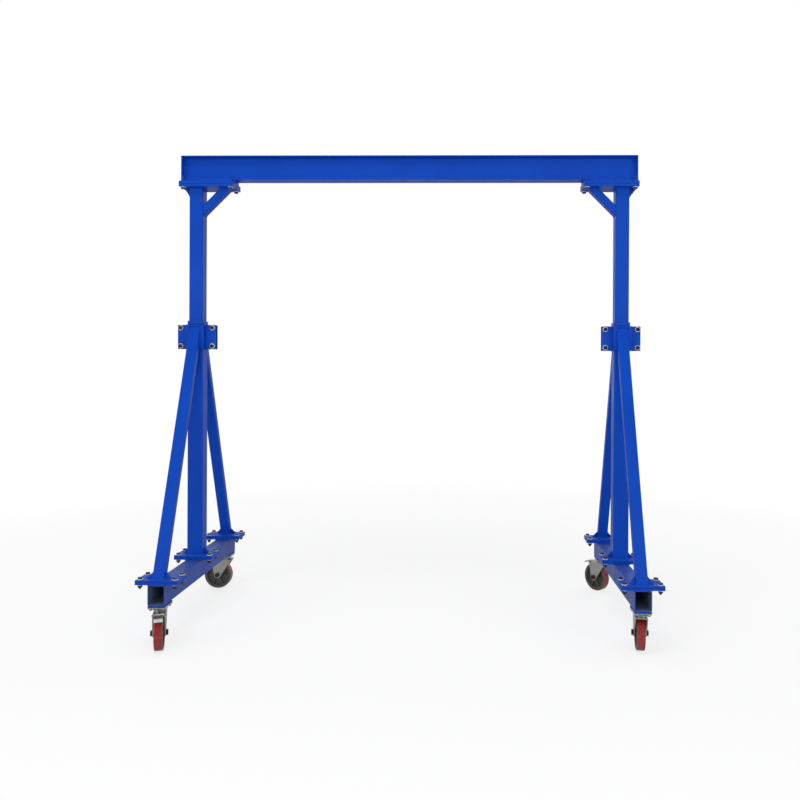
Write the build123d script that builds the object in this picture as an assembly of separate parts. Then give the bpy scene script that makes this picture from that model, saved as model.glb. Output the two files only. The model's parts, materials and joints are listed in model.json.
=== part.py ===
from build123d import *
import os
from math import hypot, sqrt

# Portable gantry crane: an I-beam on two telescopic A-frame legs with swivel casters.
# Millimetres, +Z up, X along the beam, -Y to the front, origin on the floor under the middle of the beam.

# Beam, a rolled I-section with tapered flanges
BEAM_LENGTH = 3000
BEAM_DEPTH = 160
FLANGE_WIDTH = 88
WEB_THICKNESS = 6
FLANGE_THICKNESS = 9.9
FLANGE_SLOPE = 1 / 6
ROOT_RADIUS = 8
TOE_RADIUS = 3
END_PLATE = 8

# Head of each leg
POST_INSET = 100
UPPER_POST = 90
UPPER_POST_WALL = 5
POST_SHOWN = 878
POST_INSERTION = 490
HEAD_PLATE_THICKNESS = 18
BEAM_PAD_THICKNESS = 18
HEAD_PLATE_OUT = 100
HEAD_PLATE_IN = 256
HEAD_PLATE_WIDTH = 170
HEAD_BOLT_EDGE = 22
PACKER_THICKNESS = 16
PACKER_MARGIN = 6
KNEE_LEG = 180
KNEE_WIDTH = 70
KNEE_DEPTH = 50
KNEE_WALL = 4
HEAD_GUSSET_OUT = 42
HEAD_GUSSET_RISE = 72

# Lower post, clamp and braces
SLIDE_CLEARANCE = 0.5
LOWER_POST_WALL = 4.5
LOWER_POST_LENGTH = 1542
BAND_THICKNESS = 3
BAND_HEIGHT = 22
BAND_OVER_CLAMP = 3
CLAMP_WIDTH = 250
CLAMP_HEIGHT = 160
CLAMP_THICKNESS = 10
CLAMP_GAP = 30
CLAMP_BOLT_EDGE = 20
BRACE_WIDTH = 70
BRACE_DEPTH = 50
BRACE_WALL = 4
BRACE_FOOT_INSET = 48

# Base
BASE_WIDTH = 100
BASE_DEPTH = 120
BASE_WALL = 5
BASE_LENGTH = 1320
CASTER_PAD_THICKNESS = 10
FOOT_PLATE_THICKNESS = 14
FOOT_WIDTH = 250
FOOT_LENGTH = 150
POST_FOOT_LENGTH = 160
FOOT_BOLT_EDGE = 22
BOLT_HOLE = 18

FOOT_GUSSET_OUT = 36
FOOT_GUSSET_RISE = 44

# Triangular stiffeners between a tube and its plate, and the edges of all drilled plates
GUSSET_THICKNESS = 8
PLATE_CHAMFER = 2

# Hollow sections: outside corner radius in wall thicknesses, inside corner radius
TUBE_CORNER = 2
TUBE_INNER_CORNER = 4.5

# Casters
CASTER_PLATE_WIDTH = 100
CASTER_PLATE_LENGTH = 120
CASTER_PLATE_THICKNESS = 8
CASTER_BOLT_EDGE = 14
CASTER_BOLT_HOLE = 13
WHEEL_DIAMETER = 200
WHEEL_TRAIL = 52
TYRE_WIDTH = 50
TYRE_THICKNESS = 12
TYRE_SHOULDER = 7
TYRE_SIDE_CLEARANCE = 6
RIM_THICKNESS = 10
RIM_INSET = 2
HUB_DIAMETER = 52
HUB_SIDE_CLEARANCE = 2
CORE_WEB = 8
RIB_COUNT = 6
RIB_THICKNESS = 6
RIB_INSET = 6
AXLE_DIAMETER = 20
AXLE_HEAD = 12
RUNNING_CLEARANCE = 0.06
FORK_PLATE = 6
FORK_BEND = 5
FORK_BOSS = 24
FORK_FRONT = 70
CROWN_MARGIN = 5
CROWN_THICKNESS = 7
CROWN_CLEARANCE = 9
RACE_RADIUS = 43
RACE_TAPER = 6
LOWER_RACE_HEIGHT = 9
UPPER_RACE_HEIGHT = 12
RACE_GAP = 0.4
KINGPIN_DIAMETER = 20
KINGPIN_NUT_HEIGHT = 9
HEX_RATIO = 1.5
PEDAL_PIVOT_OUT = 84
PEDAL_PIVOT_DOWN = 6
PEDAL_EAR = 9
PEDAL_PIN_DIAMETER = 8
PEDAL_BARREL = 15
PEDAL_PLATE = 5
PEDAL_BEND_OUT = 50
PEDAL_BEND_DROP = 9
PEDAL_TIP_OUT = 68
PEDAL_TIP_DROP = 22
SHOE_OUT = 22
SHOE_LENGTH = 22
SHOE_SIDE = 5
SHOE_GAP = 7

# Directions the four casters trail in at rest, degrees from +X
CASTER_HEADINGS = {
    "left_front": -72,
    "left_rear": 180,
    "right_front": 82,
    "right_rear": 128,
}

# Sizes that follow from those above
POST_SPACING = BEAM_LENGTH - 2 * POST_INSET
LOWER_POST = UPPER_POST + 2 * (SLIDE_CLEARANCE + LOWER_POST_WALL)
WHEEL_RADIUS = WHEEL_DIAMETER / 2
CROWN_BOTTOM = WHEEL_DIAMETER + CROWN_CLEARANCE
CROWN_TOP = CROWN_BOTTOM + CROWN_THICKNESS
RACE_SPLIT = CROWN_TOP + LOWER_RACE_HEIGHT
CASTER_HEIGHT = RACE_SPLIT + UPPER_RACE_HEIGHT + CASTER_PLATE_THICKNESS
BASE_BOTTOM = CASTER_HEIGHT + CASTER_PAD_THICKNESS
BASE_TOP = BASE_BOTTOM + BASE_DEPTH
FOOT_BOTTOM = BASE_TOP + FOOT_PLATE_THICKNESS
FOOT_TOP = FOOT_BOTTOM + FOOT_PLATE_THICKNESS
MOUTH = FOOT_TOP + LOWER_POST_LENGTH
CLAMP_CENTRE = MOUTH - BAND_HEIGHT - BAND_OVER_CLAMP - CLAMP_HEIGHT / 2
CLAMP_FACE = LOWER_POST / 2 + CLAMP_THICKNESS
HEAD_BOTTOM = MOUTH + POST_SHOWN
PAD_BOTTOM = HEAD_BOTTOM + HEAD_PLATE_THICKNESS
PAD_TOP = PAD_BOTTOM + BEAM_PAD_THICKNESS
BEAM_BOTTOM = PAD_TOP + PACKER_THICKNESS
UPPER_POST_LENGTH = POST_SHOWN + POST_INSERTION
BRACE_FOOT = BASE_LENGTH / 2 - BRACE_FOOT_INSET
CASTER_Y = (BASE_LENGTH - CASTER_PLATE_LENGTH) / 2
FORK_INSIDE = TYRE_WIDTH + 2 * TYRE_SIDE_CLEARANCE
FORK_OUTSIDE = FORK_INSIDE + 2 * FORK_PLATE
FORK_BACK = RACE_RADIUS + CROWN_MARGIN
HUB_WIDTH = FORK_INSIDE - 2 * HUB_SIDE_CLEARANCE
RIM_WIDTH = TYRE_WIDTH - 2 * RIM_INSET
PEDAL_PIVOT_Z = CROWN_TOP - PEDAL_PIVOT_DOWN

# A length that reaches past any piece, for cutting
PAST_ALL = 2 * (BEAM_LENGTH + MOUTH)
UPRIGHT = (Align.CENTER, Align.CENTER, Align.MIN)


def tube_section(width, depth, wall):
    inside = RectangleRounded(width - 2 * wall, depth - 2 * wall, TUBE_INNER_CORNER)
    return RectangleRounded(width, depth, TUBE_CORNER * wall) - inside


def drilled_plate(length, width, thickness, edge, hole):
    """A plate on Z = 0 with broken edges and a hole near each corner."""
    plate = Box(length, width, thickness, align=UPRIGHT)
    levels = plate.edges().group_by(Axis.Z)
    plate = chamfer(levels[0] + levels[-1], PLATE_CHAMFER)
    corners = GridLocations(length - 2 * edge, width - 2 * edge, 2, 2)
    return plate - corners * Cylinder(hole / 2, PAST_ALL)


def xz_plate(face, thickness):
    """A face drawn in X and Z, thickened evenly about Y = 0."""
    return extrude(Plane.XZ * face, thickness / 2, both=True)


def polygon(*points):
    return make_face(Polyline(*points, close=True))


def circle_edge(x, z, radius):
    return (Pos(x, z) * Circle(radius)).edge()


def y_cylinder(x, z, radius, length):
    return Pos(x, 0, z) * Rot(X=90) * Cylinder(radius, length)


def hexagon(diameter):
    return RegularPolygon(HEX_RATIO * diameter / 2, 6, major_radius=False)


def main_beam():
    taper = (FLANGE_WIDTH - WEB_THICKNESS) / 4 * FLANGE_SLOPE
    half_depth = BEAM_DEPTH / 2
    half_flange = FLANGE_WIDTH / 2
    half_web = WEB_THICKNESS / 2
    toe = (half_flange, half_depth - FLANGE_THICKNESS + taper)
    root = (half_web, half_depth - FLANGE_THICKNESS - taper)
    quarter = polygon((0, 0), (0, half_depth), (half_flange, half_depth), toe, root, (half_web, 0))
    quarter = fillet(quarter.vertices().sort_by_distance((*root, 0))[0], ROOT_RADIUS)
    quarter = fillet(quarter.vertices().sort_by_distance((*toe, 0))[0], TOE_RADIUS)
    upper = quarter + mirror(quarter, Plane.YZ)
    section = upper + mirror(upper, Plane.XZ)
    beam = extrude(Plane.YZ * section, BEAM_LENGTH / 2, both=True)
    end_plate = Box(END_PLATE, FLANGE_WIDTH, BEAM_DEPTH)
    beam += [Pos(side * (BEAM_LENGTH - END_PLATE) / 2, 0, 0) * end_plate for side in (-1, 1)]
    return Pos(0, 0, BEAM_BOTTOM + half_depth) * beam


def head_plate(thickness):
    """A plate of the left head, with the post axis at X = 0 and the span on the +X side."""
    length = HEAD_PLATE_OUT + HEAD_PLATE_IN
    plate = drilled_plate(length, HEAD_PLATE_WIDTH, thickness, HEAD_BOLT_EDGE, BOLT_HOLE)
    return Pos((HEAD_PLATE_IN - HEAD_PLATE_OUT) / 2, 0, 0) * plate


def knee_brace():
    face = UPPER_POST / 2
    start = (face, 0, HEAD_BOTTOM - KNEE_LEG + KNEE_DEPTH / sqrt(2))
    plane = Plane(origin=start, x_dir=(0, 1, 0), z_dir=(1, 0, 1))
    bar = extrude(plane * tube_section(KNEE_WIDTH, KNEE_DEPTH, KNEE_WALL), 2 * KNEE_LEG, both=True)
    corner = (Align.MIN, Align.CENTER, Align.MAX)
    return bar & Pos(face, 0, HEAD_BOTTOM) * Box(PAST_ALL, PAST_ALL, PAST_ALL, align=corner)


def head_gusset():
    face = -UPPER_POST / 2
    tip = (face - HEAD_GUSSET_OUT, HEAD_BOTTOM)
    corners = ((face, HEAD_BOTTOM), tip, (face, HEAD_BOTTOM - HEAD_GUSSET_RISE))
    return xz_plate(polygon(*corners), GUSSET_THICKNESS)


def beam_pad():
    """Upper plate of the bolted pair, with the packer that the beam stands on."""
    length = HEAD_PLATE_OUT + HEAD_PLATE_IN
    packer = Box(length, FLANGE_WIDTH + 2 * PACKER_MARGIN, PACKER_THICKNESS, align=UPRIGHT)
    middle = (HEAD_PLATE_IN - HEAD_PLATE_OUT) / 2
    plate = Pos(0, 0, PAD_BOTTOM) * head_plate(BEAM_PAD_THICKNESS)
    return plate + Pos(middle, 0, PAD_TOP) * packer


def head_pieces():
    """Pieces of the left head about its own post axis."""
    post = extrude(tube_section(UPPER_POST, UPPER_POST, UPPER_POST_WALL), UPPER_POST_LENGTH)
    return {
        "beam_pad": beam_pad(),
        "head_plate": Pos(0, 0, HEAD_BOTTOM) * head_plate(HEAD_PLATE_THICKNESS),
        "upper_post": Pos(0, 0, HEAD_BOTTOM - UPPER_POST_LENGTH) * post,
        "knee_brace": knee_brace(),
        "head_gusset": head_gusset(),
    }


def brace_plane():
    """Origin at the middle of the front brace's foot, X across it and Z up along it."""
    lean = (0, BRACE_FOOT - CLAMP_FACE, CLAMP_CENTRE - FOOT_TOP)
    return Plane(origin=(0, -BRACE_FOOT, FOOT_TOP), x_dir=(1, 0, 0), z_dir=lean)


def above_foot(shape):
    return shape & Pos(0, 0, FOOT_TOP) * Box(PAST_ALL, PAST_ALL, PAST_ALL, align=UPRIGHT)


def front_brace():
    reach = hypot(BRACE_FOOT - CLAMP_FACE, CLAMP_CENTRE - FOOT_TOP)
    bar = extrude(brace_plane() * tube_section(BRACE_WIDTH, BRACE_DEPTH, BRACE_WALL), 2 * reach, both=True)
    outside = Box(PAST_ALL, PAST_ALL, PAST_ALL, align=(Align.CENTER, Align.MAX, Align.CENTER))
    return above_foot(bar) & Pos(0, -CLAMP_FACE, 0) * outside


def foot_stiffeners(plane, tube_width):
    """A triangular plate on each side of a tube, in the plane that the tube stands in."""
    inner = tube_width / 2
    outer = inner + FOOT_GUSSET_OUT
    corners = ((inner, -FOOT_GUSSET_RISE), (outer, -FOOT_GUSSET_RISE), (outer, 0), (inner, FOOT_GUSSET_RISE))
    sheet = Plane(origin=plane.origin, x_dir=plane.x_dir, z_dir=-plane.y_dir) * polygon(*corners)
    right = above_foot(extrude(sheet, GUSSET_THICKNESS / 2, both=True))
    return [right, mirror(right, Plane.YZ)]


def plates_on_base():
    """Outlines of the bolted feet, lying on Z = 0: under the front brace, the post and the rear brace."""
    end = drilled_plate(FOOT_WIDTH, FOOT_LENGTH, FOOT_PLATE_THICKNESS, FOOT_BOLT_EDGE, BOLT_HOLE)
    middle = drilled_plate(FOOT_WIDTH, POST_FOOT_LENGTH, FOOT_PLATE_THICKNESS, FOOT_BOLT_EDGE, BOLT_HOLE)
    end_at = (BASE_LENGTH - FOOT_LENGTH) / 2
    return [Pos(0, -end_at, 0) * end, middle, Pos(0, end_at, 0) * end]


def foot_plates():
    front, middle, rear = (Pos(0, 0, FOOT_BOTTOM) * plate for plate in plates_on_base())
    brace_sides = foot_stiffeners(brace_plane(), BRACE_WIDTH)
    post_sides = foot_stiffeners(Plane.XY.offset(FOOT_TOP), LOWER_POST)
    rear_sides = [mirror(side, Plane.XZ) for side in brace_sides]
    feet = ((front, brace_sides), (middle, post_sides), (rear, rear_sides))
    return Compound([plate + sides for plate, sides in feet])


def caster_plate(thickness):
    return drilled_plate(
        CASTER_PLATE_WIDTH, CASTER_PLATE_LENGTH, thickness, CASTER_BOLT_EDGE, CASTER_BOLT_HOLE
    )


def caster_mount():
    """Top plate, upper race and kingpin, with the swivel axis at X = Y = 0."""
    plate_bottom = CASTER_HEIGHT - CASTER_PLATE_THICKNESS
    race_bottom = RACE_SPLIT + RACE_GAP
    nut_top = CROWN_BOTTOM - RACE_GAP
    nut_bottom = nut_top - KINGPIN_NUT_HEIGHT
    race_top = (RACE_RADIUS - RACE_TAPER, plate_bottom)
    cup = polygon((0, race_bottom), (RACE_RADIUS, race_bottom), race_top, (0, plate_bottom))
    race = revolve(Plane.XZ * cup, Axis.Z)
    pin = Pos(0, 0, nut_bottom) * Cylinder(KINGPIN_DIAMETER / 2, race_bottom - nut_bottom, align=UPRIGHT)
    nut = Pos(0, 0, nut_bottom) * extrude(hexagon(KINGPIN_DIAMETER), KINGPIN_NUT_HEIGHT)
    return Pos(0, 0, plate_bottom) * caster_plate(CASTER_PLATE_THICKNESS) + race + pin + nut


def post_band():
    across = LOWER_POST + 2 * BAND_THICKNESS
    corner = TUBE_CORNER * LOWER_POST_WALL
    ring = RectangleRounded(across, across, corner + BAND_THICKNESS)
    ring -= RectangleRounded(LOWER_POST, LOWER_POST, corner)
    return Pos(0, 0, MOUTH - BAND_HEIGHT) * extrude(ring, BAND_HEIGHT)


def front_clamp():
    """Half of the clamp: a channel round the front of the post, with a drilled wing on each side."""
    channel = Box(2 * CLAMP_FACE, 2 * CLAMP_FACE, CLAMP_HEIGHT)
    wings = drilled_plate(CLAMP_WIDTH, CLAMP_HEIGHT, CLAMP_THICKNESS, CLAMP_BOLT_EDGE, BOLT_HOLE)
    half = Box(PAST_ALL, PAST_ALL, PAST_ALL, align=(Align.CENTER, Align.MAX, Align.CENTER))
    front = channel & Pos(0, -CLAMP_GAP / 2, 0) * half
    front += Pos(0, -CLAMP_GAP / 2, 0) * Rot(X=90) * wings
    return Pos(0, 0, CLAMP_CENTRE) * (front - Box(LOWER_POST, LOWER_POST, PAST_ALL))


def frame_pieces():
    """Pieces of one leg frame about its own post axis."""
    beam = extrude(Plane.XZ * tube_section(BASE_WIDTH, BASE_DEPTH, BASE_WALL), BASE_LENGTH / 2, both=True)
    post = extrude(tube_section(LOWER_POST, LOWER_POST, LOWER_POST_WALL), LOWER_POST_LENGTH)
    clamp = front_clamp()
    brace = front_brace()
    ends = (-CASTER_Y, CASTER_Y)
    pads = [Pos(0, 0, BASE_TOP) * pad for pad in plates_on_base()]
    pads += [Pos(0, y, CASTER_HEIGHT) * caster_plate(CASTER_PAD_THICKNESS) for y in ends]
    return {
        "base_beam": Pos(0, 0, BASE_BOTTOM + BASE_DEPTH / 2) * beam,
        "base_pads": Compound(pads),
        "foot_plates": foot_plates(),
        "lower_post": Pos(0, 0, FOOT_TOP) * post,
        "post_band": post_band(),
        "clamp_plates": Compound([clamp, mirror(clamp, Plane.XZ)]),
        "front_brace": brace,
        "rear_brace": mirror(brace, Plane.XZ),
        "caster_mounts": Compound([Pos(0, y, 0) * caster_mount() for y in ends]),
    }


def fork():
    """Crown, two tapered legs, lower race and pedal pin; the wheel trails on the +X side."""
    ear = PEDAL_PIVOT_OUT + PEDAL_EAR
    corners = (
        (-FORK_BACK, CROWN_BOTTOM),
        (-FORK_BACK, CROWN_TOP),
        (ear, CROWN_TOP),
        (ear, PEDAL_PIVOT_Z - PEDAL_EAR),
    )
    outline = Polyline(*corners).edges() + [circle_edge(WHEEL_TRAIL, WHEEL_RADIUS, FORK_BOSS)]
    bent = RectangleRounded(FORK_OUTSIDE, 2 * CROWN_TOP, FORK_BEND)
    body = xz_plate(make_hull(outline), PAST_ALL) & extrude(Plane.YZ * bent, PAST_ALL, both=True)
    body -= Box(PAST_ALL, FORK_INSIDE, 2 * CROWN_BOTTOM)
    ahead = (Align.MIN, Align.CENTER, Align.CENTER)
    body -= Pos(FORK_FRONT, 0, 0) * Box(PAST_ALL, FORK_INSIDE, PAST_ALL, align=ahead)
    body -= y_cylinder(WHEEL_TRAIL, WHEEL_RADIUS, AXLE_DIAMETER / 2 + RUNNING_CLEARANCE, PAST_ALL)
    body += Pos(0, 0, CROWN_TOP) * Cylinder(RACE_RADIUS - RACE_TAPER, LOWER_RACE_HEIGHT, align=UPRIGHT)
    body -= Cylinder(KINGPIN_DIAMETER / 2 + RACE_GAP, PAST_ALL)
    return body + y_cylinder(PEDAL_PIVOT_OUT, PEDAL_PIVOT_Z, PEDAL_PIN_DIAMETER / 2, FORK_OUTSIDE)


def axle():
    rod = y_cylinder(0, 0, AXLE_DIAMETER / 2, FORK_OUTSIDE)
    head = Pos(0, -FORK_OUTSIDE / 2, 0) * extrude(Plane.XZ * hexagon(AXLE_DIAMETER), AXLE_HEAD)
    return Pos(WHEEL_TRAIL, 0, WHEEL_RADIUS) * (rod + head + mirror(head, Plane.XZ))


def wheel_core():
    """Cast core about its own axis along Z: rim, middle web, ribs and hub."""
    outer = WHEEL_RADIUS - TYRE_THICKNESS
    inner = outer - RIM_THICKNESS
    hub = HUB_DIAMETER / 2
    core = Cylinder(outer, RIM_WIDTH) - Cylinder(inner, RIM_WIDTH)
    core += Cylinder(outer - RIM_THICKNESS / 2, CORE_WEB)
    rib_width = RIM_WIDTH - 2 * RIB_INSET
    outward = (Align.MIN, Align.CENTER, Align.CENTER)
    rib = Box(outer - RIM_THICKNESS / 2, RIB_THICKNESS, rib_width, align=outward)
    core += PolarLocations(0, RIB_COUNT) * rib
    core += Cylinder(hub, HUB_WIDTH)
    core -= Cylinder(AXLE_DIAMETER / 2 + RUNNING_CLEARANCE, PAST_ALL)
    return Pos(WHEEL_TRAIL, 0, WHEEL_RADIUS) * Rot(X=90) * core


def tyre():
    ring = Cylinder(WHEEL_RADIUS, TYRE_WIDTH)
    ring = fillet(ring.edges().filter_by(GeomType.CIRCLE), TYRE_SHOULDER)
    ring -= Cylinder(WHEEL_RADIUS - TYRE_THICKNESS, PAST_ALL)
    return Pos(WHEEL_TRAIL, 0, WHEEL_RADIUS) * Rot(X=90) * ring


def brake_pedal():
    """Bent plate on a barrel, with a shoe hollowed to the tyre."""
    underside = Polyline((0, 0), (PEDAL_BEND_OUT, -PEDAL_BEND_DROP), (PEDAL_TIP_OUT, -PEDAL_TIP_DROP))
    blade = make_face(offset(underside, PEDAL_PLATE, kind=Kind.INTERSECTION, side=Side.LEFT))
    pedal = xz_plate(blade, TYRE_WIDTH)
    slope = PEDAL_BEND_DROP / PEDAL_BEND_OUT
    near = SHOE_OUT - SHOE_LENGTH / 2
    far = SHOE_OUT + SHOE_LENGTH / 2
    seat = [(x, PEDAL_PLATE / 2 - slope * x) for x in (near, far)]
    shoe = polygon(*seat, (far, -WHEEL_RADIUS), (near, -WHEEL_RADIUS))
    pedal += xz_plate(shoe, TYRE_WIDTH - 2 * SHOE_SIDE)
    pedal -= y_cylinder(
        WHEEL_TRAIL - PEDAL_PIVOT_OUT, WHEEL_RADIUS - PEDAL_PIVOT_Z, WHEEL_RADIUS + SHOE_GAP, PAST_ALL
    )
    pedal += y_cylinder(0, 0, PEDAL_BARREL / 2, HUB_WIDTH)
    pedal -= y_cylinder(0, 0, PEDAL_PIN_DIAMETER / 2 + RUNNING_CLEARANCE, PAST_ALL)
    return Pos(PEDAL_PIVOT_OUT, 0, PEDAL_PIVOT_Z) * pedal


def caster_pieces():
    """Pieces of one caster about its swivel axis, trailing on the +X side."""
    return {
        "fork": fork(),
        "axle": axle(),
        "wheel_core": wheel_core(),
        "tyre": tyre(),
        "brake_pedal": brake_pedal(),
    }


pieces = {"main_beam": main_beam()}
head = head_pieces()
frame = frame_pieces()
caster = caster_pieces()
for side, x in (("left", -POST_SPACING / 2), ("right", POST_SPACING / 2)):
    for name, piece in head.items():
        turned = piece if side == "left" else mirror(piece, Plane.YZ)
        pieces[f"{side}_{name}"] = Pos(x, 0, 0) * turned
    for name, piece in frame.items():
        pieces[f"{side}_{name}"] = Pos(x, 0, 0) * piece
    for end, y in (("front", -CASTER_Y), ("rear", CASTER_Y)):
        place = Pos(x, y, 0) * Rot(Z=CASTER_HEADINGS[f"{side}_{end}"])
        for name, piece in caster.items():
            pieces[f"{side}_{end}_{name}"] = place * piece

os.makedirs("parts", exist_ok=True)
for node, piece in pieces.items():
    export_step(piece, f"parts/{node}.step")
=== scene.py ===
import json
import math
import random

import bpy
from mathutils import Matrix, Vector


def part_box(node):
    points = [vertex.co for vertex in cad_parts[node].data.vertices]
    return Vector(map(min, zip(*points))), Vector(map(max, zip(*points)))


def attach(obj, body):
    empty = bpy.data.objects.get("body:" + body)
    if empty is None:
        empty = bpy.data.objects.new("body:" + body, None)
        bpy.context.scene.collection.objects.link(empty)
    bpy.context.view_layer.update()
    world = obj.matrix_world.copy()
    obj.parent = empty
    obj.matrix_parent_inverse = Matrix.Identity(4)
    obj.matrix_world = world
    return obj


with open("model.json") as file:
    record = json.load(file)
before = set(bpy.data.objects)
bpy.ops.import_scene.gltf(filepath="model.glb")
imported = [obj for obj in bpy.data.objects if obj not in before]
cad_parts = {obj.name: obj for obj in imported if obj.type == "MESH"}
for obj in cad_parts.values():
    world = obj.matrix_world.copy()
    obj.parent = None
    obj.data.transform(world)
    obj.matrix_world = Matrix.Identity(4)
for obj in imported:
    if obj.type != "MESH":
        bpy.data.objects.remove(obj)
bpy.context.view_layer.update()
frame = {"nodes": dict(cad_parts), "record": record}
rng = random.Random(11)
SIDES = {"left": -1, "right": 1}
ENDS = {"front": -1, "rear": 1}
POST_X = 1.4
CASTER_Y = 0.6
HEADINGS = {"left_front": -72, "left_rear": 180, "right_front": 82, "right_rear": 128}
MM = 0.001
HOLLOW_HALF_X = 0.0452
HOLLOW_HALF_Z = 0.0552
SHARP_EDGE = math.radians(28)
WELD_STEP = 1.15 * MM


# Node materials

class Graph:
    """A node tree, with short calls for nodes and links."""

    def __init__(self, tree):
        self.tree = tree
        self.coords = self.add("ShaderNodeTexCoord")

    def add(self, kind, values=None, **settings):
        node = self.tree.nodes.new(kind)
        for key, value in settings.items():
            setattr(node, key, value)
        for key, value in (values or {}).items():
            self.put(node.inputs[key], value)
        return node

    def put(self, socket, value):
        if isinstance(value, bpy.types.NodeSocket):
            self.tree.links.new(value, socket)
        else:
            socket.default_value = value

    def spread(self, value, low, high, to_low=0.0, to_high=1.0):
        values = {0: value, 1: low, 2: high, 3: to_low, 4: to_high}
        return self.add("ShaderNodeMapRange", values).outputs[0]

    def math(self, operation, a, b=0.0, clamp=False):
        return self.add("ShaderNodeMath", {0: a, 1: b}, operation=operation, use_clamp=clamp).outputs[0]


class Tree(Graph):
    """A material's node tree, with what its surface needs."""

    def __init__(self, name):
        self.material = bpy.data.materials.new(name)
        self.material.use_nodes = True
        super().__init__(self.material.node_tree)
        self.shader = self.tree.nodes["Principled BSDF"]
        self.geometry = self.add("ShaderNodeNewGeometry")

    def noise(self, scale, detail=3.0, rough=0.5, stretch=None):
        where = self.coords.outputs["Object"]
        if stretch:
            where = self.add("ShaderNodeMapping", {"Vector": where, "Scale": stretch}).outputs[0]
        values = {"Vector": where, "Scale": scale, "Detail": detail, "Roughness": rough}
        return self.add("ShaderNodeTexNoise", values).outputs["Fac"]

    def dot(self, a, b):
        return self.add("ShaderNodeVectorMath", {0: a, 1: b}, operation="DOT_PRODUCT").outputs["Value"]

    def mix(self, factor, a, b):
        node = self.add("ShaderNodeMix", data_type="RGBA")
        for index, value in ((0, factor), (6, a), (7, b)):
            self.put(node.inputs[index], value)
        return node.outputs[2]

    def bump(self, height, strength, distance, normal=None):
        values = {"Height": height, "Strength": strength, "Distance": distance}
        if normal is not None:
            values["Normal"] = normal
        return self.add("ShaderNodeBump", values).outputs[0]

    def edges(self, radius):
        """Rounded normal of sharp edges, and a mask that is 1 on them."""
        rounded = self.add("ShaderNodeBevel", {"Radius": radius}, samples=4).outputs[0]
        flat = self.dot(rounded, self.geometry.outputs["Normal"])
        return rounded, self.spread(flat, 0.995, 0.90)

    def upward(self):
        split = self.add("ShaderNodeSeparateXYZ", {0: self.geometry.outputs["Normal"]})
        return split.outputs["Z"]

    def finish(self, **values):
        for key, value in values.items():
            self.put(self.shader.inputs[key.replace("_", " ")], value)
        return self.material


def blue_paint(name, hollow=None):
    """Enamel with a drift of tone, orange peel, chips on its edges and settled dust, with its sharp edges
    painted lighter (partly thin enamel, partly painted highlight) and painted shade in its creases and
    nooks.

    A base tube gives its hollow as (middle x, middle z, half width, half height). It has a film of dust
    outside and a dull, thin coat inside.
    """
    t = Tree(name)
    rounded, edge = t.edges(0.0030)
    tone = t.spread(t.noise(1.7, 3.0), 0.35, 0.65)
    colour = t.mix(tone, (0.0020, 0.054, 0.42, 1), (0.0030, 0.064, 0.47, 1))
    # Painted highlight, partly thin enamel: sharp edges mixed towards a lighter blue.
    colour = t.mix(t.math("MULTIPLY", edge, 0.30), colour, (0.030, 0.135, 0.62, 1))
    # Painted shade: colour darkened towards deep navy in creases, nooks and the seams between plates.
    crease_shade = t.add("ShaderNodeAmbientOcclusion", {"Distance": 0.009}, samples=6).outputs["AO"]
    colour = t.mix(t.spread(crease_shade, 0.75, 0.25, 0.0, 0.70), colour, (0.0015, 0.020, 0.15, 1))
    dust = t.math("MULTIPLY", t.spread(t.upward(), 0.55, 0.95), t.spread(t.noise(9, 5.0, 0.65), 0.35, 0.75))
    colour = t.mix(t.math("MULTIPLY", dust, 0.06), colour, (0.30, 0.31, 0.36, 1))
    speck = t.spread(t.noise(150, 4.0, 0.6), 0.62, 0.66)
    worn = t.math("MULTIPLY", edge, t.spread(t.noise(22, 5.0, 0.7), 0.60, 0.68))
    chip = t.math("MULTIPLY", worn, t.spread(t.noise(85, 3.0), 0.42, 0.50), clamp=True)
    chip = t.math("MAXIMUM", chip, t.math("MULTIPLY", speck, t.math("MULTIPLY", worn, 0.7)))
    colour = t.mix(chip, colour, (0.17, 0.165, 0.16, 1))
    smear = t.noise(7, 5.0, 0.6, stretch=(1.0, 1.0, 0.35))
    rough = t.math("ADD", t.spread(smear, 0.3, 0.75, 0.30, 0.46), t.math("MULTIPLY", dust, 0.16))
    rough = t.math("ADD", rough, t.math("MULTIPLY", chip, 0.3))
    if hollow:
        film = t.spread(t.noise(5, 6.0, 0.65), 0.30, 0.70, 0.18, 0.46)
        colour = t.mix(film, colour, (0.085, 0.092, 0.115, 1))
        inside = 1.0
        where = t.add("ShaderNodeSeparateXYZ", {0: t.coords.outputs["Object"]})
        for axis, middle, half in (("X", hollow[0], hollow[2]), ("Z", hollow[1], hollow[3])):
            away = t.math("ABSOLUTE", t.math("SUBTRACT", where.outputs[axis], middle))
            inside = t.math("MULTIPLY", t.math("LESS_THAN", away, half), inside)
        patch = t.spread(t.noise(30, 6.0, 0.7), 0.35, 0.70)
        dull = t.mix(patch, (0.075, 0.110, 0.210, 1), (0.110, 0.128, 0.180, 1))
        colour = t.mix(inside, colour, dull)
        rough = t.math("ADD", rough, t.math("MULTIPLY", inside, 0.4))
    peel = t.noise(420, 2.0, 0.5)
    waves = t.noise(26, 2.0)
    height = t.math("ADD", t.math("MULTIPLY", peel, 0.35), waves)
    height = t.math("SUBTRACT", height, t.math("MULTIPLY", chip, 0.8))
    normal = t.bump(height, 0.10, 0.0012, rounded)
    return t.finish(Base_Color=colour, Roughness=rough, Normal=normal, Specular_IOR_Level=0.09)


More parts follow.
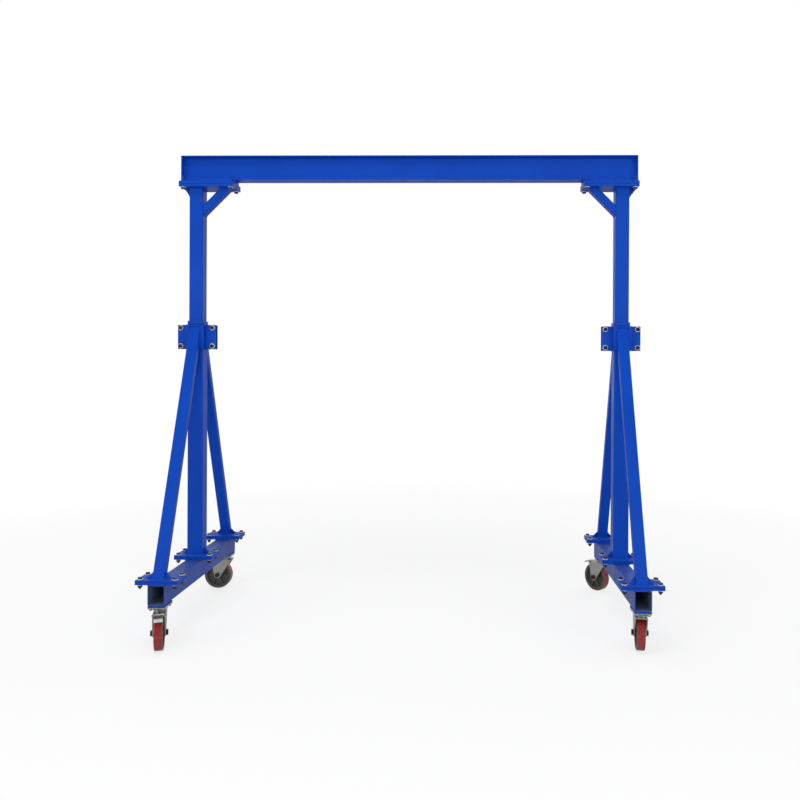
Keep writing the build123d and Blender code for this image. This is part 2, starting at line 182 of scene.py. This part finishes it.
def zinc():
    """Zinc plating: faint yellow and blue patches, fine scratches, grime in scattered patches."""
    t = Tree("zinc_plate")
    rounded, edge = t.edges(0.0012)
    patch = t.spread(t.noise(30, 4.0, 0.6), 0.35, 0.70)
    colour = t.mix(patch, (0.40, 0.40, 0.385, 1), (0.33, 0.32, 0.27, 1))
    grime = t.spread(t.noise(48, 6.0, 0.7), 0.56, 0.80, 0.0, 0.45)
    colour = t.mix(grime, colour, (0.13, 0.12, 0.10, 1))
    colour = t.mix(t.math("MULTIPLY", edge, 0.5), colour, (0.66, 0.66, 0.64, 1))
    scratch = t.noise(300, 3.0, 0.5, stretch=(1.0, 1.0, 0.08))
    rough = t.math("ADD", t.spread(scratch, 0.3, 0.7, 0.26, 0.40), t.math("MULTIPLY", grime, 0.5))
    normal = t.bump(scratch, 0.08, 0.0004, rounded)
    return t.finish(Base_Color=colour, Roughness=rough, Normal=normal, Metallic=0.85)


def bright_zinc():
    """Fresh zinc of the washers, white with a faint bloom."""
    t = Tree("bright_zinc")
    rounded = t.edges(0.0008)[0]
    patch = t.spread(t.noise(70, 4.0, 0.6), 0.35, 0.70)
    colour = t.mix(patch, (0.80, 0.81, 0.82, 1), (0.66, 0.67, 0.66, 1))
    rough = t.spread(t.noise(160, 4.0), 0.3, 0.7, 0.25, 0.42)
    normal = t.bump(t.noise(900, 2.0), 0.06, 0.0003, rounded)
    return t.finish(Base_Color=colour, Roughness=rough, Normal=normal, Metallic=0.25)


def dark_steel():
    """Blackened steel of the bolts and axles, rubbed bright on its corners."""
    t = Tree("black_steel")
    rounded, edge = t.edges(0.0009)
    patch = t.spread(t.noise(60, 4.0, 0.6), 0.35, 0.70)
    colour = t.mix(patch, (0.020, 0.020, 0.022, 1), (0.050, 0.048, 0.045, 1))
    rub = t.math("MULTIPLY", edge, t.spread(t.noise(120, 3.0), 0.40, 0.60))
    colour = t.mix(rub, colour, (0.30, 0.30, 0.30, 1))
    rough = t.spread(t.noise(90, 4.0), 0.3, 0.7, 0.22, 0.42)
    normal = t.bump(t.noise(700, 2.0), 0.06, 0.0003, rounded)
    return t.finish(Base_Color=colour, Roughness=rough, Normal=normal, Metallic=0.7)


def joint_grime():
    """Near-black for the open joints of bolted plates: painted shade of the gap, with some oily dirt."""
    t = Tree("joint_grime")
    patch = t.spread(t.noise(80, 5.0, 0.65), 0.30, 0.70)
    colour = t.mix(patch, (0.0025, 0.0045, 0.012, 1), (0.008, 0.011, 0.022, 1))
    rough = t.spread(t.noise(140, 4.0), 0.3, 0.7, 0.55, 0.80)
    normal = t.bump(t.noise(800, 3.0), 0.20, 0.0003)
    return t.finish(Base_Color=colour, Roughness=rough, Normal=normal, Specular_IOR_Level=0.15)


def cast_iron():
    """Sand-cast wheel core under a thin grey paint, with patchy tone and spots of rust."""
    t = Tree("grey_cast_iron")
    rounded = t.edges(0.0016)[0]
    patch = t.spread(t.noise(34, 5.0, 0.65), 0.30, 0.72)
    colour = t.mix(patch, (0.048, 0.046, 0.042, 1), (0.085, 0.082, 0.074, 1))
    rust = t.spread(t.noise(75, 6.0, 0.7), 0.62, 0.78, 0.0, 0.55)
    colour = t.mix(rust, colour, (0.075, 0.040, 0.022, 1))
    rough = t.spread(t.noise(110, 4.0), 0.3, 0.7, 0.48, 0.70)
    normal = t.bump(t.noise(520, 4.0, 0.7), 0.30, 0.0006, rounded)
    return t.finish(Base_Color=colour, Roughness=rough, Normal=normal)


def polyurethane(heading):
    """Red cast tyre of a caster that trails in that heading: scuffed tread, dusty grey flanks."""
    t = Tree("red_polyurethane")
    turn = math.radians(heading)
    across = t.dot(t.coords.outputs["Normal"], (-math.sin(turn), math.cos(turn), 0))
    flank = t.spread(t.math("ABSOLUTE", across), 0.35, 0.75)
    patch = t.spread(t.noise(40, 5.0, 0.6), 0.35, 0.70)
    colour = t.mix(patch, (0.23, 0.014, 0.015, 1), (0.31, 0.026, 0.025, 1))
    scuff = t.spread(t.noise(90, 6.0, 0.7), 0.56, 0.74, 0.0, 0.55)
    colour = t.mix(scuff, colour, (0.16, 0.085, 0.075, 1))
    grey = t.mix(patch, (0.065, 0.060, 0.055, 1), (0.12, 0.115, 0.105, 1))
    cover = t.math("MULTIPLY", flank, t.spread(t.noise(55, 4.0), 0.25, 0.55, 0.80, 0.98))
    colour = t.mix(cover, colour, grey)
    rough = t.spread(scuff, 0.0, 0.55, 0.22, 0.50)
    normal = t.bump(t.noise(600, 4.0, 0.65), 0.14, 0.0005)
    return t.finish(Base_Color=colour, Roughness=rough, Normal=normal)


BLUE = blue_paint("blue_enamel")
ZINC = zinc()
WASHER = bright_zinc()
STEEL = dark_steel()
IRON = cast_iron()
# Near-black strips in the plates' joints: painted shade of the gap, with some oily dirt.
JOINT_SHADE = joint_grime()
FINISHES = {"blue_paint": BLUE, "zinc": ZINC, "dark_steel": STEEL, "cast_iron": IRON}
for node in frame["record"]["subparts"]:
    finish = FINISHES.get(node["material_slot"])
    if finish is None:
        corner = node["node"].replace("_tyre", "")
        finish = polyurethane(HEADINGS[corner])
    if node["node"].endswith("_base_beam"):
        low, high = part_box(node["node"])
        middle = (low + high) / 2
        finish = blue_paint(node["node"] + "_enamel", (middle.x, middle.z, HOLLOW_HALF_X, HOLLOW_HALF_Z))
    mesh = frame["nodes"][node["node"]].data
    mesh.materials.clear()
    mesh.materials.append(finish)


# Mesh code for hardware and welds

class Shape:
    """Vertices and faces of one piece, in metres."""

    def __init__(self):
        self.points = []
        self.faces = []

    def rings(self, rings, close=True, caps=(True, True)):
        """Skin over rings of equal count; close joins each ring's end to its start."""
        count = len(rings[0])
        first = len(self.points)
        for ring in rings:
            self.points.extend(ring)
        steps = count if close else count - 1
        for i in range(len(rings) - 1):
            low = first + i * count
            for j in range(steps):
                k = (j + 1) % count
                self.faces.append((low + j, low + k, low + count + k, low + count + j))
        if caps[0]:
            self.faces.append(tuple(first + j for j in reversed(range(count))))
        if caps[1]:
            last = first + (len(rings) - 1) * count
            self.faces.append(tuple(last + j for j in range(count)))

    def loop(self, rings):
        """Skin over rings whose last one meets the first."""
        first = len(self.points)
        self.rings(rings, caps=(False, False))
        count = len(rings[0])
        last = first + (len(rings) - 1) * count
        for j in range(count):
            k = (j + 1) % count
            self.faces.append((last + j, last + k, first + k, first + j))

    def piece(self, name, material, body, slot):
        mesh = bpy.data.meshes.new(name)
        mesh.from_pydata([tuple(p) for p in self.points], [], self.faces)
        mesh.materials.append(material)
        mesh.validate()
        mesh.shade_smooth()
        mesh.set_sharp_from_angle(angle=SHARP_EDGE)
        obj = bpy.data.objects.new(name, mesh)
        bpy.context.scene.collection.objects.link(obj)
        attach(obj, body)


def placed(origin, axis, turn=0.0):
    """Matrix whose Z runs along axis from origin."""
    aimed = Vector(axis).to_track_quat("Z", "Y").to_matrix().to_4x4()
    return Matrix.Translation(Vector(origin)) @ aimed @ Matrix.Rotation(turn, 4, "Z")


def circle(place, radius, z, count):
    angles = [2 * math.pi * i / count for i in range(count)]
    return [place @ Vector((radius * math.cos(a), radius * math.sin(a), z)) for a in angles]


def hex_radius(angle, flats):
    step = math.radians(60)
    return flats / 2 / math.cos((angle + step / 2) % step - step / 2)


def hex_head(shape, place, flats, z, height, chamfer_both=False):
    """Hexagon with its corners turned off to a cone."""
    count = 24
    face = 0.475 * flats
    slope = math.tan(math.radians(30))
    angles = [2 * math.pi * i / count for i in range(count)]
    low, high = [], []
    for a in angles:
        r = hex_radius(a, flats)
        cut = max(0.0, r - face) * slope
        x, y = r * math.cos(a), r * math.sin(a)
        low.append(place @ Vector((x, y, z + (cut if chamfer_both else 0.0))))
        high.append(place @ Vector((x, y, z + height - cut)))
    rings = [low, high, circle(place, face, z + height, count)]
    if chamfer_both:
        rings.insert(0, circle(place, face, z, count))
    shape.rings(rings)


def washer(shape, place, inner, outer, z, thickness):
    edge = 0.18 * thickness
    profile = ((inner, z), (outer - edge, z), (outer, z + edge), (outer, z + thickness - edge),
               (outer - edge, z + thickness), (inner, z + thickness))
    count = 32
    first = len(shape.points)
    for r, h in profile:
        shape.points.extend(circle(place, r, h, count))
    for i in range(len(profile)):
        low = first + i * count
        high = first + (i + 1) % len(profile) * count
        for j in range(count):
            k = (j + 1) % count
            shape.faces.append((low + j, low + k, high + k, high + j))


def thread(shape, place, radius, z, length, pitch):
    """Threaded end that points to -Z, with a turned tip."""
    count = 18
    per_turn = 6
    steps = max(2, round(length / pitch * per_turn))
    depth = 0.55 * pitch
    tip = per_turn * 0.8
    rings = []
    for i in range(steps + 1):
        h = z - length * i / steps
        taper = max(0.0, i - steps + tip) / tip * 0.14 * radius
        ring = []
        for j in range(count):
            turn = (h / pitch - j / count) % 1.0
            r = radius - depth * abs(2 * turn - 1) - taper
            a = 2 * math.pi * j / count
            ring.append(place @ Vector((r * math.cos(a), r * math.sin(a), h)))
        rings.append(ring)
    shape.rings([ring[::-1] for ring in rings])


class Bolt:
    """Sizes of one bolt set, in metres."""

    def __init__(self, diameter, flats, head, nut, washer_outer, washer_thick, stick):
        self.diameter = diameter * MM
        self.flats = flats * MM
        self.head = head * MM
        self.nut = nut * MM
        self.washer_outer = washer_outer * MM
        self.washer_thick = washer_thick * MM
        self.stick = stick * MM


M16 = Bolt(diameter=16, flats=24, head=10, nut=13, washer_outer=34, washer_thick=4, stick=8)
M16_LONG = Bolt(diameter=16, flats=24, head=10, nut=13, washer_outer=34, washer_thick=4, stick=20)
M12 = Bolt(diameter=12, flats=18, head=7.5, nut=10, washer_outer=24, washer_thick=2.5, stick=5)


def bolt(steel, rings, origin, axis, size, grip, nut=True, far=None):
    """A bolt whose head stands on origin along axis, with its nut behind the grip.

    Where far is given, that shape takes the nut, its washer and the thread.
    """
    place = placed(origin, axis, rng.uniform(0, math.pi))
    t = size.washer_thick
    washer(rings, place, size.diameter * 0.53, size.washer_outer / 2, 0.0, t)
    hex_head(steel, place, size.flats, t, size.head)
    back = -grip
    steel.rings([circle(place, size.diameter / 2, h, 18) for h in (back - (t if nut else 0), t)])
    if nut:
        washer(far or rings, place, size.diameter * 0.53, size.washer_outer / 2, back - t, t)
        loose = placed(origin, axis, rng.uniform(0, math.pi))
        hex_head(far or steel, loose, size.flats, back - t - size.nut, size.nut, chamfer_both=True)
        thread(far or steel, place, size.diameter / 2, back - t - size.nut, size.stick, size.diameter / 8)


def bead(shape, path, leg, closed=False):
    """Rippled fillet weld along path, a list of (point, out, up) in the two legs' directions."""
    sink = 0.4 * MM
    shares = (0.0, 0.25, 0.5, 0.75, 1.0)
    travel = 0.0
    pitch = 3.4 * MM
    rings = []
    for i, (point, out, up) in enumerate(path):
        if i:
            travel += (point - path[i - 1][0]).length
        swell = rng.uniform(-0.04, 0.04)
        ring = [point - sink * out - sink * up]
        for s in shares:
            angle = s * math.pi / 2
            wave = travel / pitch + 0.30 * math.sin(math.pi * s)
            ripple = 1 + swell + 0.09 * math.sin(2 * math.pi * wave)
            flat_out, flat_up = 1 - s, s
            x = leg * ripple * (0.62 * flat_out + 0.38 * math.cos(angle))
            z = leg * ripple * (0.62 * flat_up + 0.38 * math.sin(angle))
            if s == 0.0:
                z -= sink
            if s == 1.0:
                x -= sink
            ring.append(point + x * out + z * up)
        rings.append(ring)
    if closed:
        shape.loop(rings)
    else:
        shape.rings(rings)


def straight(start, end, out, up):
    start, end = Vector(start), Vector(end)
    count = max(2, round((end - start).length / WELD_STEP))
    out, up = Vector(out).normalized(), Vector(up).normalized()
    return [(start.lerp(end, i / count), out, up) for i in range(count + 1)]


def around(origin, x_dir, y_dir, width, depth, radius, up):
    """Closed path round a rounded rectangle about origin."""
    origin, x_dir, y_dir = Vector(origin), Vector(x_dir).normalized(), Vector(y_dir).normalized()
    up = Vector(up).normalized()
    spots = []
    for corner in range(4):
        sx = 1 if corner in (0, 3) else -1
        sy = 1 if corner in (0, 1) else -1
        cx, cy = sx * (width / 2 - radius), sy * (depth / 2 - radius)
        arc = max(4, round(radius * math.pi / 2 / WELD_STEP))
        for i in range(arc + 1):
            a = math.pi / 2 * (corner + i / arc)
            spots.append((cx + radius * math.cos(a), cy + radius * math.sin(a), math.cos(a), math.sin(a)))
        run = depth - 2 * radius if corner in (1, 3) else width - 2 * radius
        a = math.pi / 2 * (corner + 1)
        px, py, nx, ny = spots[-1]
        count = round(run / WELD_STEP)
        tx, ty = -math.sin(a), math.cos(a)
        for i in range(1, count):
            spots.append((px + tx * run * i / count, py + ty * run * i / count, nx, ny))
    return [(origin + x * x_dir + y * y_dir, nx * x_dir + ny * y_dir, up) for x, y, nx, ny in spots]


# Sizes that the hardware shares with the solids

def top(node):
    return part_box(node)[1].z


def bottom(node):
    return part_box(node)[0].z


FOOT_TOP = bottom("left_lower_post")
BASE_TOP = top("left_base_beam")
BASE_BOTTOM = bottom("left_base_beam")
BAND_BOTTOM = bottom("left_post_band")
HEAD_BOTTOM = bottom("left_head_plate")
PACKER_TOP = top("left_beam_pad")
PACKER_THICKNESS = 0.016
PLATE_TOP = PACKER_TOP - PACKER_THICKNESS
CLAMP_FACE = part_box("left_clamp_plates")[1].y
CLAMP_Z = (top("left_clamp_plates") + bottom("left_clamp_plates")) / 2
CASTER_PLATE = 0.237
STACK = FOOT_TOP - BASE_TOP
BASE_HALF = 0.05
LOWER_POST = 0.1
UPPER_POST = 0.09
BRACE_WIDTH = 0.07
BRACE_DEPTH = 0.05
BRACE_FOOT = 0.612
BRACE_PLATE_Y = 0.585
BRACE_PLATE_HALF = 0.075
POST_PLATE_HALF = 0.080
FOOT_HALF_WIDTH = 0.125
GUSSET_HALF = 0.004
PIVOT_OUT = 0.084
PIVOT_Z = 0.210
PIVOT_EAR = 0.037
KNEE_LEG = 0.180
KNEE_HALF = 0.035


# Bolts with their nuts and washers

FOOT_BOLT_X = 0.103
POST_BOLT_Y = 0.058
BRACE_BOLT_Y = 0.053
CASTER_BOLT_X = 0.036
CASTER_BOLT_Y = 0.046
CASTER_GRIP = 0.016
CLAMP_BOLT_X = 0.105
CLAMP_BOLT_Z = 0.06
CLAMP_GRIP = 0.050
HEAD_BOLT_OUT = 0.078
HEAD_BOLT_IN = 0.234
HEAD_BOLT_Y = 0.063


def foot_spots():
    for x in (-FOOT_BOLT_X, FOOT_BOLT_X):
        for y in (-POST_BOLT_Y, POST_BOLT_Y):
            yield x, y
        for end in ENDS.values():
            for y in (-BRACE_BOLT_Y, BRACE_BOLT_Y):
                yield x, end * BRACE_PLATE_Y + y


for side, sign in SIDES.items():
    steel, rings = Shape(), Shape()
    for x, y in foot_spots():
        bolt(steel, rings, (sign * POST_X + x, y, FOOT_TOP), (0, 0, 1), M16, STACK)
    for end in ENDS.values():
        for x in (-CASTER_BOLT_X, CASTER_BOLT_X):
            for y in (-CASTER_BOLT_Y, CASTER_BOLT_Y):
                spot = (sign * POST_X + x, end * CASTER_Y + y, CASTER_PLATE)
                bolt(steel, rings, spot, (0, 0, -1), M12, CASTER_GRIP, nut=False)
    for x in (-CLAMP_BOLT_X, CLAMP_BOLT_X):
        for z in (-CLAMP_BOLT_Z, CLAMP_BOLT_Z):
            spot = (sign * POST_X + x, -CLAMP_GRIP / 2, CLAMP_Z + z)
            bolt(steel, rings, spot, (0, -1, 0), M16, CLAMP_GRIP)
    steel.piece(f"{side}_frame_bolts", STEEL, f"{side}_frame", "dark_steel")
    rings.piece(f"{side}_frame_washers", WASHER, f"{side}_frame", "zinc")

steel, rings, painted = Shape(), Shape(), Shape()
for sign in SIDES.values():
    for x in (POST_X + HEAD_BOLT_OUT, POST_X - HEAD_BOLT_IN):
        for y in (-HEAD_BOLT_Y, HEAD_BOLT_Y):
            spot = (sign * x, y, HEAD_BOTTOM)
            bolt(steel, rings, spot, (0, 0, -1), M16_LONG, PLATE_TOP - HEAD_BOTTOM, far=painted)
steel.piece("head_bolts", STEEL, "head", "dark_steel")
rings.piece("head_washers", WASHER, "head", "zinc")
painted.piece("head_nuts", BLUE, "head", "blue_paint")


# Dark strips in the joints between bolted plates: painted shade of the open gap, with some grime

def seam(shape, middle, half_x, half_y, z):
    """Dark strip that lies in the groove of two plates' broken edges: painted shade of the gap, with some
    grime.
    """
    rings = []
    for sx, sy in ((1, 1), (-1, 1), (-1, -1), (1, -1)):
        ring = []
        for inset, lift in ((0.8, 1.2), (0.8, -1.2), (1.9, -0.1), (1.9, 0.1)):
            x, y = half_x - inset * MM, half_y - inset * MM
            ring.append(Vector((middle.x + sx * x, middle.y + sy * y, z + lift * MM)))
        rings.append(ring)
    shape.loop(rings)


PLATES = ((-BRACE_PLATE_Y, BRACE_PLATE_HALF), (0, POST_PLATE_HALF), (BRACE_PLATE_Y, BRACE_PLATE_HALF))
for side, sign in SIDES.items():
    joints = Shape()
    for y, half_y in PLATES:
        seam(joints, Vector((sign * POST_X, y, 0)), FOOT_HALF_WIDTH, half_y, (BASE_TOP + FOOT_TOP) / 2)
    joints.piece(f"{side}_frame_joints", JOINT_SHADE, f"{side}_frame", "dark_steel")

joints = Shape()
for side in SIDES:
    low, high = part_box(f"{side}_head_plate")
    seam(joints, (low + high) / 2, (high.x - low.x) / 2, (high.y - low.y) / 2, high.z)
joints.piece("head_joints", JOINT_SHADE, "head", "dark_steel")


# Riveted ends of the brake pins

RIVET = ((5.6, -1.0), (5.9, 0.0), (5.7, 0.9), (4.9, 1.9), (3.4, 2.6), (1.4, 2.9))
for corner, heading in HEADINGS.items():
    side, end = corner.split("_")
    turn = math.radians(heading)
    trail = Vector((math.cos(turn), math.sin(turn), 0))
    across = Vector((-math.sin(turn), math.cos(turn), 0))
    pivot = Vector((SIDES[side] * POST_X, ENDS[end] * CASTER_Y, PIVOT_Z)) + PIVOT_OUT * trail
    rivets = Shape()
    for way in (-1, 1):
        place = placed(pivot + way * PIVOT_EAR * across, way * across)
        rivets.rings([circle(place, radius * MM, height * MM, 20) for radius, height in RIVET])
    rivets.piece(f"{corner}_pin_rivets", STEEL, f"{corner}_fork_body", "dark_steel")


# Weld beads under the paint, whose runs start and stop short of the corners

X_AXIS, Y_AXIS, Z_AXIS = Vector((1, 0, 0)), Vector((0, 1, 0)), Vector((0, 0, 1))
LEAN = Vector((0, BRACE_FOOT - CLAMP_FACE, CLAMP_Z - FOOT_TOP)).normalized()
LOWER_POST_CORNER = 0.009
UPPER_POST_CORNER = 0.010
BRACE_CORNER = 0.008
LOWER_POST_BEAD = 5.5 * MM
UPPER_POST_BEAD = 5 * MM
PLATE_BEAD = 4.5 * MM
GUSSET_BEAD = 3.5 * MM
BAND_BEAD = 2.6 * MM
BRACE_PLATE_RUN = 0.072
POST_PLATE_RUN = 0.076
CASTER_PAD_EDGE = 0.54
CASTER_PAD_RUN = 0.042
GUSSET_START = 0.006
FOOT_GUSSET_OUT = 0.034
FOOT_GUSSET_RISE = 0.041
HEAD_GUSSET_OUT = 0.040
HEAD_GUSSET_RISE = 0.069
FLANGE_HALF = 0.044
PACKER_HALF = 0.050
PAD_RUN = (1.497, 1.146)
WEB_HALF = 0.003
END_PLATE_X = 1.492
WEB_RUN = (0.026, 0.134)
KNEE_MOUTH = 0.068
KNEE_RUN = 0.031


def ring_bead(shape, origin, x_dir, y_dir, size, corner, up, leg):
    bead(shape, around(origin, x_dir, y_dir, *size, corner, up), leg, closed=True)


def line_bead(shape, start, end, out, up, leg):
    bead(shape, straight(start, end, out, up), leg)


def brace_welds(shape, middle, end):
    """Beads of the brace at that end: its foot, its head, its base pad and the caster's pad below."""
    lean = Vector((0, -end * LEAN.y, LEAN.z))
    foot = middle + Vector((0, end * BRACE_FOOT, FOOT_TOP))
    head = middle + Vector((0, end * CLAMP_FACE, CLAMP_Z))
    size = (BRACE_WIDTH, BRACE_DEPTH / LEAN.z)
    ring_bead(shape, foot, X_AXIS, Y_AXIS, size, BRACE_CORNER, lean, PLATE_BEAD)
    size = (BRACE_WIDTH, BRACE_DEPTH / LEAN.y)
    ring_bead(shape, head, X_AXIS, Z_AXIS, size, BRACE_CORNER, Vector((0, end, 0)), PLATE_BEAD)
    for x in (-1, 1):
        edge = middle + Vector((x * BASE_HALF, 0, BASE_TOP))
        near = edge + (end * BRACE_PLATE_Y - BRACE_PLATE_RUN) * Y_AXIS
        far = edge + (end * BRACE_PLATE_Y + BRACE_PLATE_RUN) * Y_AXIS
        line_bead(shape, near, far, x * X_AXIS, -Z_AXIS, PLATE_BEAD)
    inner = middle + Vector((0, end * CASTER_PAD_EDGE, BASE_BOTTOM))
    run = CASTER_PAD_RUN * X_AXIS
    line_bead(shape, inner - run, inner + run, (0, -end, 0), -Z_AXIS, PLATE_BEAD)


def post_welds(shape, middle):
    """Beads of the lower post's base pad and of its two foot gussets."""
    for x in (-1, 1):
        edge = middle + Vector((x * BASE_HALF, 0, BASE_TOP))
        run = POST_PLATE_RUN * Y_AXIS
        line_bead(shape, edge - run, edge + run, x * X_AXIS, -Z_AXIS, PLATE_BEAD)
        for y in (-1, 1):
            root = middle + Vector((x * BASE_HALF, y * GUSSET_HALF, FOOT_TOP))
            start, stop = root + GUSSET_START * x * X_AXIS, root + FOOT_GUSSET_OUT * x * X_AXIS
            line_bead(shape, start, stop, y * Y_AXIS, Z_AXIS, GUSSET_BEAD)
            start, stop = root + GUSSET_START * Z_AXIS, root + FOOT_GUSSET_RISE * Z_AXIS
            line_bead(shape, start, stop, x * X_AXIS, y * Y_AXIS, GUSSET_BEAD)


def head_face_welds(shape, middle, sign, y):
    """Beads on the front or rear of one head: beam pad, packer, end plate, gusset and knee brace."""
    inward = -sign * X_AXIS
    face = y * Y_AXIS
    for half, z in ((FLANGE_HALF, PACKER_TOP), (PACKER_HALF, PLATE_TOP)):
        start, stop = (Vector((sign * x, y * half, z)) for x in PAD_RUN)
        line_bead(shape, start, stop, face, Z_AXIS, PLATE_BEAD)
    web = Vector((sign * END_PLATE_X, y * WEB_HALF, PACKER_TOP))
    start, stop = (web + z * Z_AXIS for z in WEB_RUN)
    line_bead(shape, start, stop, face, inward, PLATE_BEAD)
    outer = middle + Vector((sign * UPPER_POST / 2, y * GUSSET_HALF, 0))
    start, stop = outer - GUSSET_START * inward, outer - HEAD_GUSSET_OUT * inward
    line_bead(shape, start, stop, face, -Z_AXIS, GUSSET_BEAD)
    start, stop = outer - GUSSET_START * Z_AXIS, outer - HEAD_GUSSET_RISE * Z_AXIS
    line_bead(shape, start, stop, sign * X_AXIS, face, GUSSET_BEAD)
    low = middle + Vector((-sign * UPPER_POST / 2, y * KNEE_HALF, -KNEE_LEG))
    line_bead(shape, low, low + KNEE_MOUTH * Z_AXIS, inward, face, GUSSET_BEAD)
    far = middle + Vector((-sign * (UPPER_POST / 2 + KNEE_LEG), y * KNEE_HALF, 0))
    line_bead(shape, far, far - KNEE_MOUTH * inward, face, -Z_AXIS, GUSSET_BEAD)


for side, sign in SIDES.items():
    welds = Shape()
    middle = Vector((sign * POST_X, 0, 0))
    size = (LOWER_POST, LOWER_POST)
    foot, band = middle + FOOT_TOP * Z_AXIS, middle + BAND_BOTTOM * Z_AXIS
    ring_bead(welds, foot, X_AXIS, Y_AXIS, size, LOWER_POST_CORNER, Z_AXIS, LOWER_POST_BEAD)
    ring_bead(welds, band, X_AXIS, Y_AXIS, size, LOWER_POST_CORNER, -Z_AXIS, BAND_BEAD)
    for end in ENDS.values():
        brace_welds(welds, middle, end)
    post_welds(welds, middle)
    welds.piece(f"{side}_frame_welds", BLUE, f"{side}_frame", "blue_paint")

welds = Shape()
for sign in SIDES.values():
    middle = Vector((sign * POST_X, 0, HEAD_BOTTOM))
    size = (UPPER_POST, UPPER_POST)
    ring_bead(welds, middle, X_AXIS, Y_AXIS, size, UPPER_POST_CORNER, -Z_AXIS, UPPER_POST_BEAD)
    for y in (-1, 1):
        head_face_welds(welds, middle, sign, y)
    run = KNEE_RUN * Y_AXIS
    low = middle + Vector((-sign * UPPER_POST / 2, 0, -KNEE_LEG))
    line_bead(welds, low - run, low + run, -sign * X_AXIS, -Z_AXIS, GUSSET_BEAD)
    far = middle + Vector((-sign * (UPPER_POST / 2 + KNEE_LEG), 0, 0))
    line_bead(welds, far - run, far + run, -sign * X_AXIS, -Z_AXIS, GUSSET_BEAD)
welds.piece("head_welds", BLUE, "head", "blue_paint")


# Floor

FLOOR_HALF = 40


def pale_floor():
    """Pale floor that keeps the shadow: near white to the camera, and a little lighter in reflections."""
    t = Tree("pale_floor")
    rays = t.add("ShaderNodeLightPath")
    tint = t.mix(t.spread(t.noise(3, 4.0), 0.3, 0.7), (0.55, 0.55, 0.56, 1), (0.58, 0.58, 0.59, 1))
    tint = t.mix(rays.outputs["Is Camera Ray"], tint, (0.95, 0.95, 0.955, 1))
    t.finish(Base_Color=tint, Roughness=0.8)
    mirrored = t.math("MAXIMUM", rays.outputs["Is Glossy Ray"], rays.outputs["Is Transmission Ray"])
    seen = t.math("MAXIMUM", t.math("MULTIPLY", mirrored, 0.40), rays.outputs["Is Camera Ray"])
    away = t.add("ShaderNodeVectorMath", {0: t.geometry.outputs["Position"]}, operation="LENGTH")
    share = t.math("MULTIPLY", seen, t.spread(away.outputs["Value"], 1.5, 6.0, 0.74, 1.0))
    white = t.add("ShaderNodeEmission", {"Color": (1, 1, 1, 1)})
    blend = t.add("ShaderNodeMixShader", {0: share, 1: t.shader.outputs[0], 2: white.outputs[0]})
    t.put(t.tree.nodes["Material Output"].inputs["Surface"], blend.outputs[0])
    return t.material


floor_mesh = bpy.data.meshes.new("floor")
floor_corners = [(x * FLOOR_HALF, y * FLOOR_HALF, 0) for x, y in ((-1, -1), (1, -1), (1, 1), (-1, 1))]
floor_mesh.from_pydata(floor_corners, [], [(0, 1, 2, 3)])
floor = bpy.data.objects.new("floor", floor_mesh)
bpy.context.scene.collection.objects.link(floor)
floor_mesh.materials.append(pale_floor())


# Light

def studio_world():
    """Soft room, dim in front and brighter behind, with a white backdrop for camera and mirrors."""
    world = bpy.data.worlds.new("studio")
    world.use_nodes = True
    g = Graph(world.node_tree)
    depth = g.add("ShaderNodeSeparateXYZ", {0: g.coords.outputs["Generated"]}).outputs["Y"]
    room = g.tree.nodes["Background"]
    g.put(room.inputs["Color"], (0.95, 0.97, 1.0, 1))
    g.put(room.inputs["Strength"], g.spread(depth, -0.55, 0.25, 0.18, 0.75))
    backdrop = g.add("ShaderNodeBackground", {"Color": (1, 1, 1, 1)})
    rays = g.add("ShaderNodeLightPath")
    mirrored = g.math("MAXIMUM", rays.outputs["Is Glossy Ray"], rays.outputs["Is Transmission Ray"])
    behind = g.math("MULTIPLY", mirrored, g.spread(depth, -0.05, 0.30))
    seen = g.math("MAXIMUM", rays.outputs["Is Camera Ray"], behind)
    choice = g.add("ShaderNodeMixShader", {0: seen, 1: room.outputs[0], 2: backdrop.outputs[0]})
    g.put(g.tree.nodes["World Output"].inputs["Surface"], choice.outputs[0])
    return world


AIM = Vector((0, 0, 1.5))


def lamp(name, place, size, power, mirrored=True):
    data = bpy.data.lights.new(name, "AREA")
    data.size = size
    data.energy = power
    obj = bpy.data.objects.new(name, data)
    obj.location = place
    obj.rotation_euler = (AIM - Vector(place)).to_track_quat("-Z", "Y").to_euler()
    obj.visible_glossy = mirrored
    bpy.context.scene.collection.objects.link(obj)


bpy.context.scene.world = studio_world()
lamp("top", (-1.0, -3.0, 7.5), size=3.0, power=160)
lamp("front", (0.4, -8.0, 2.6), size=8.0, power=310, mirrored=False)
for side, sign in SIDES.items():
    lamp(f"{side}_key", (sign * 6.5, -6.5, 2.4), size=3.2, power=130)


# Camera at the photograph's viewpoint

camera_data = bpy.data.cameras.new("camera")
camera_data.lens = 33.437
camera_data.sensor_width = 36
camera_data.shift_x = -0.0601
camera_data.shift_y = -0.0328
camera = bpy.data.objects.new("camera", camera_data)
camera.location = (0.3724, -4.9099, 1.6210)
camera.rotation_euler = (math.radians(89.807), math.radians(-0.282), math.radians(1.231))
bpy.context.scene.collection.objects.link(camera)
bpy.context.scene.camera = camera
bpy.context.scene.view_settings.view_transform = "Standard"

bpy.context.view_layer.update()
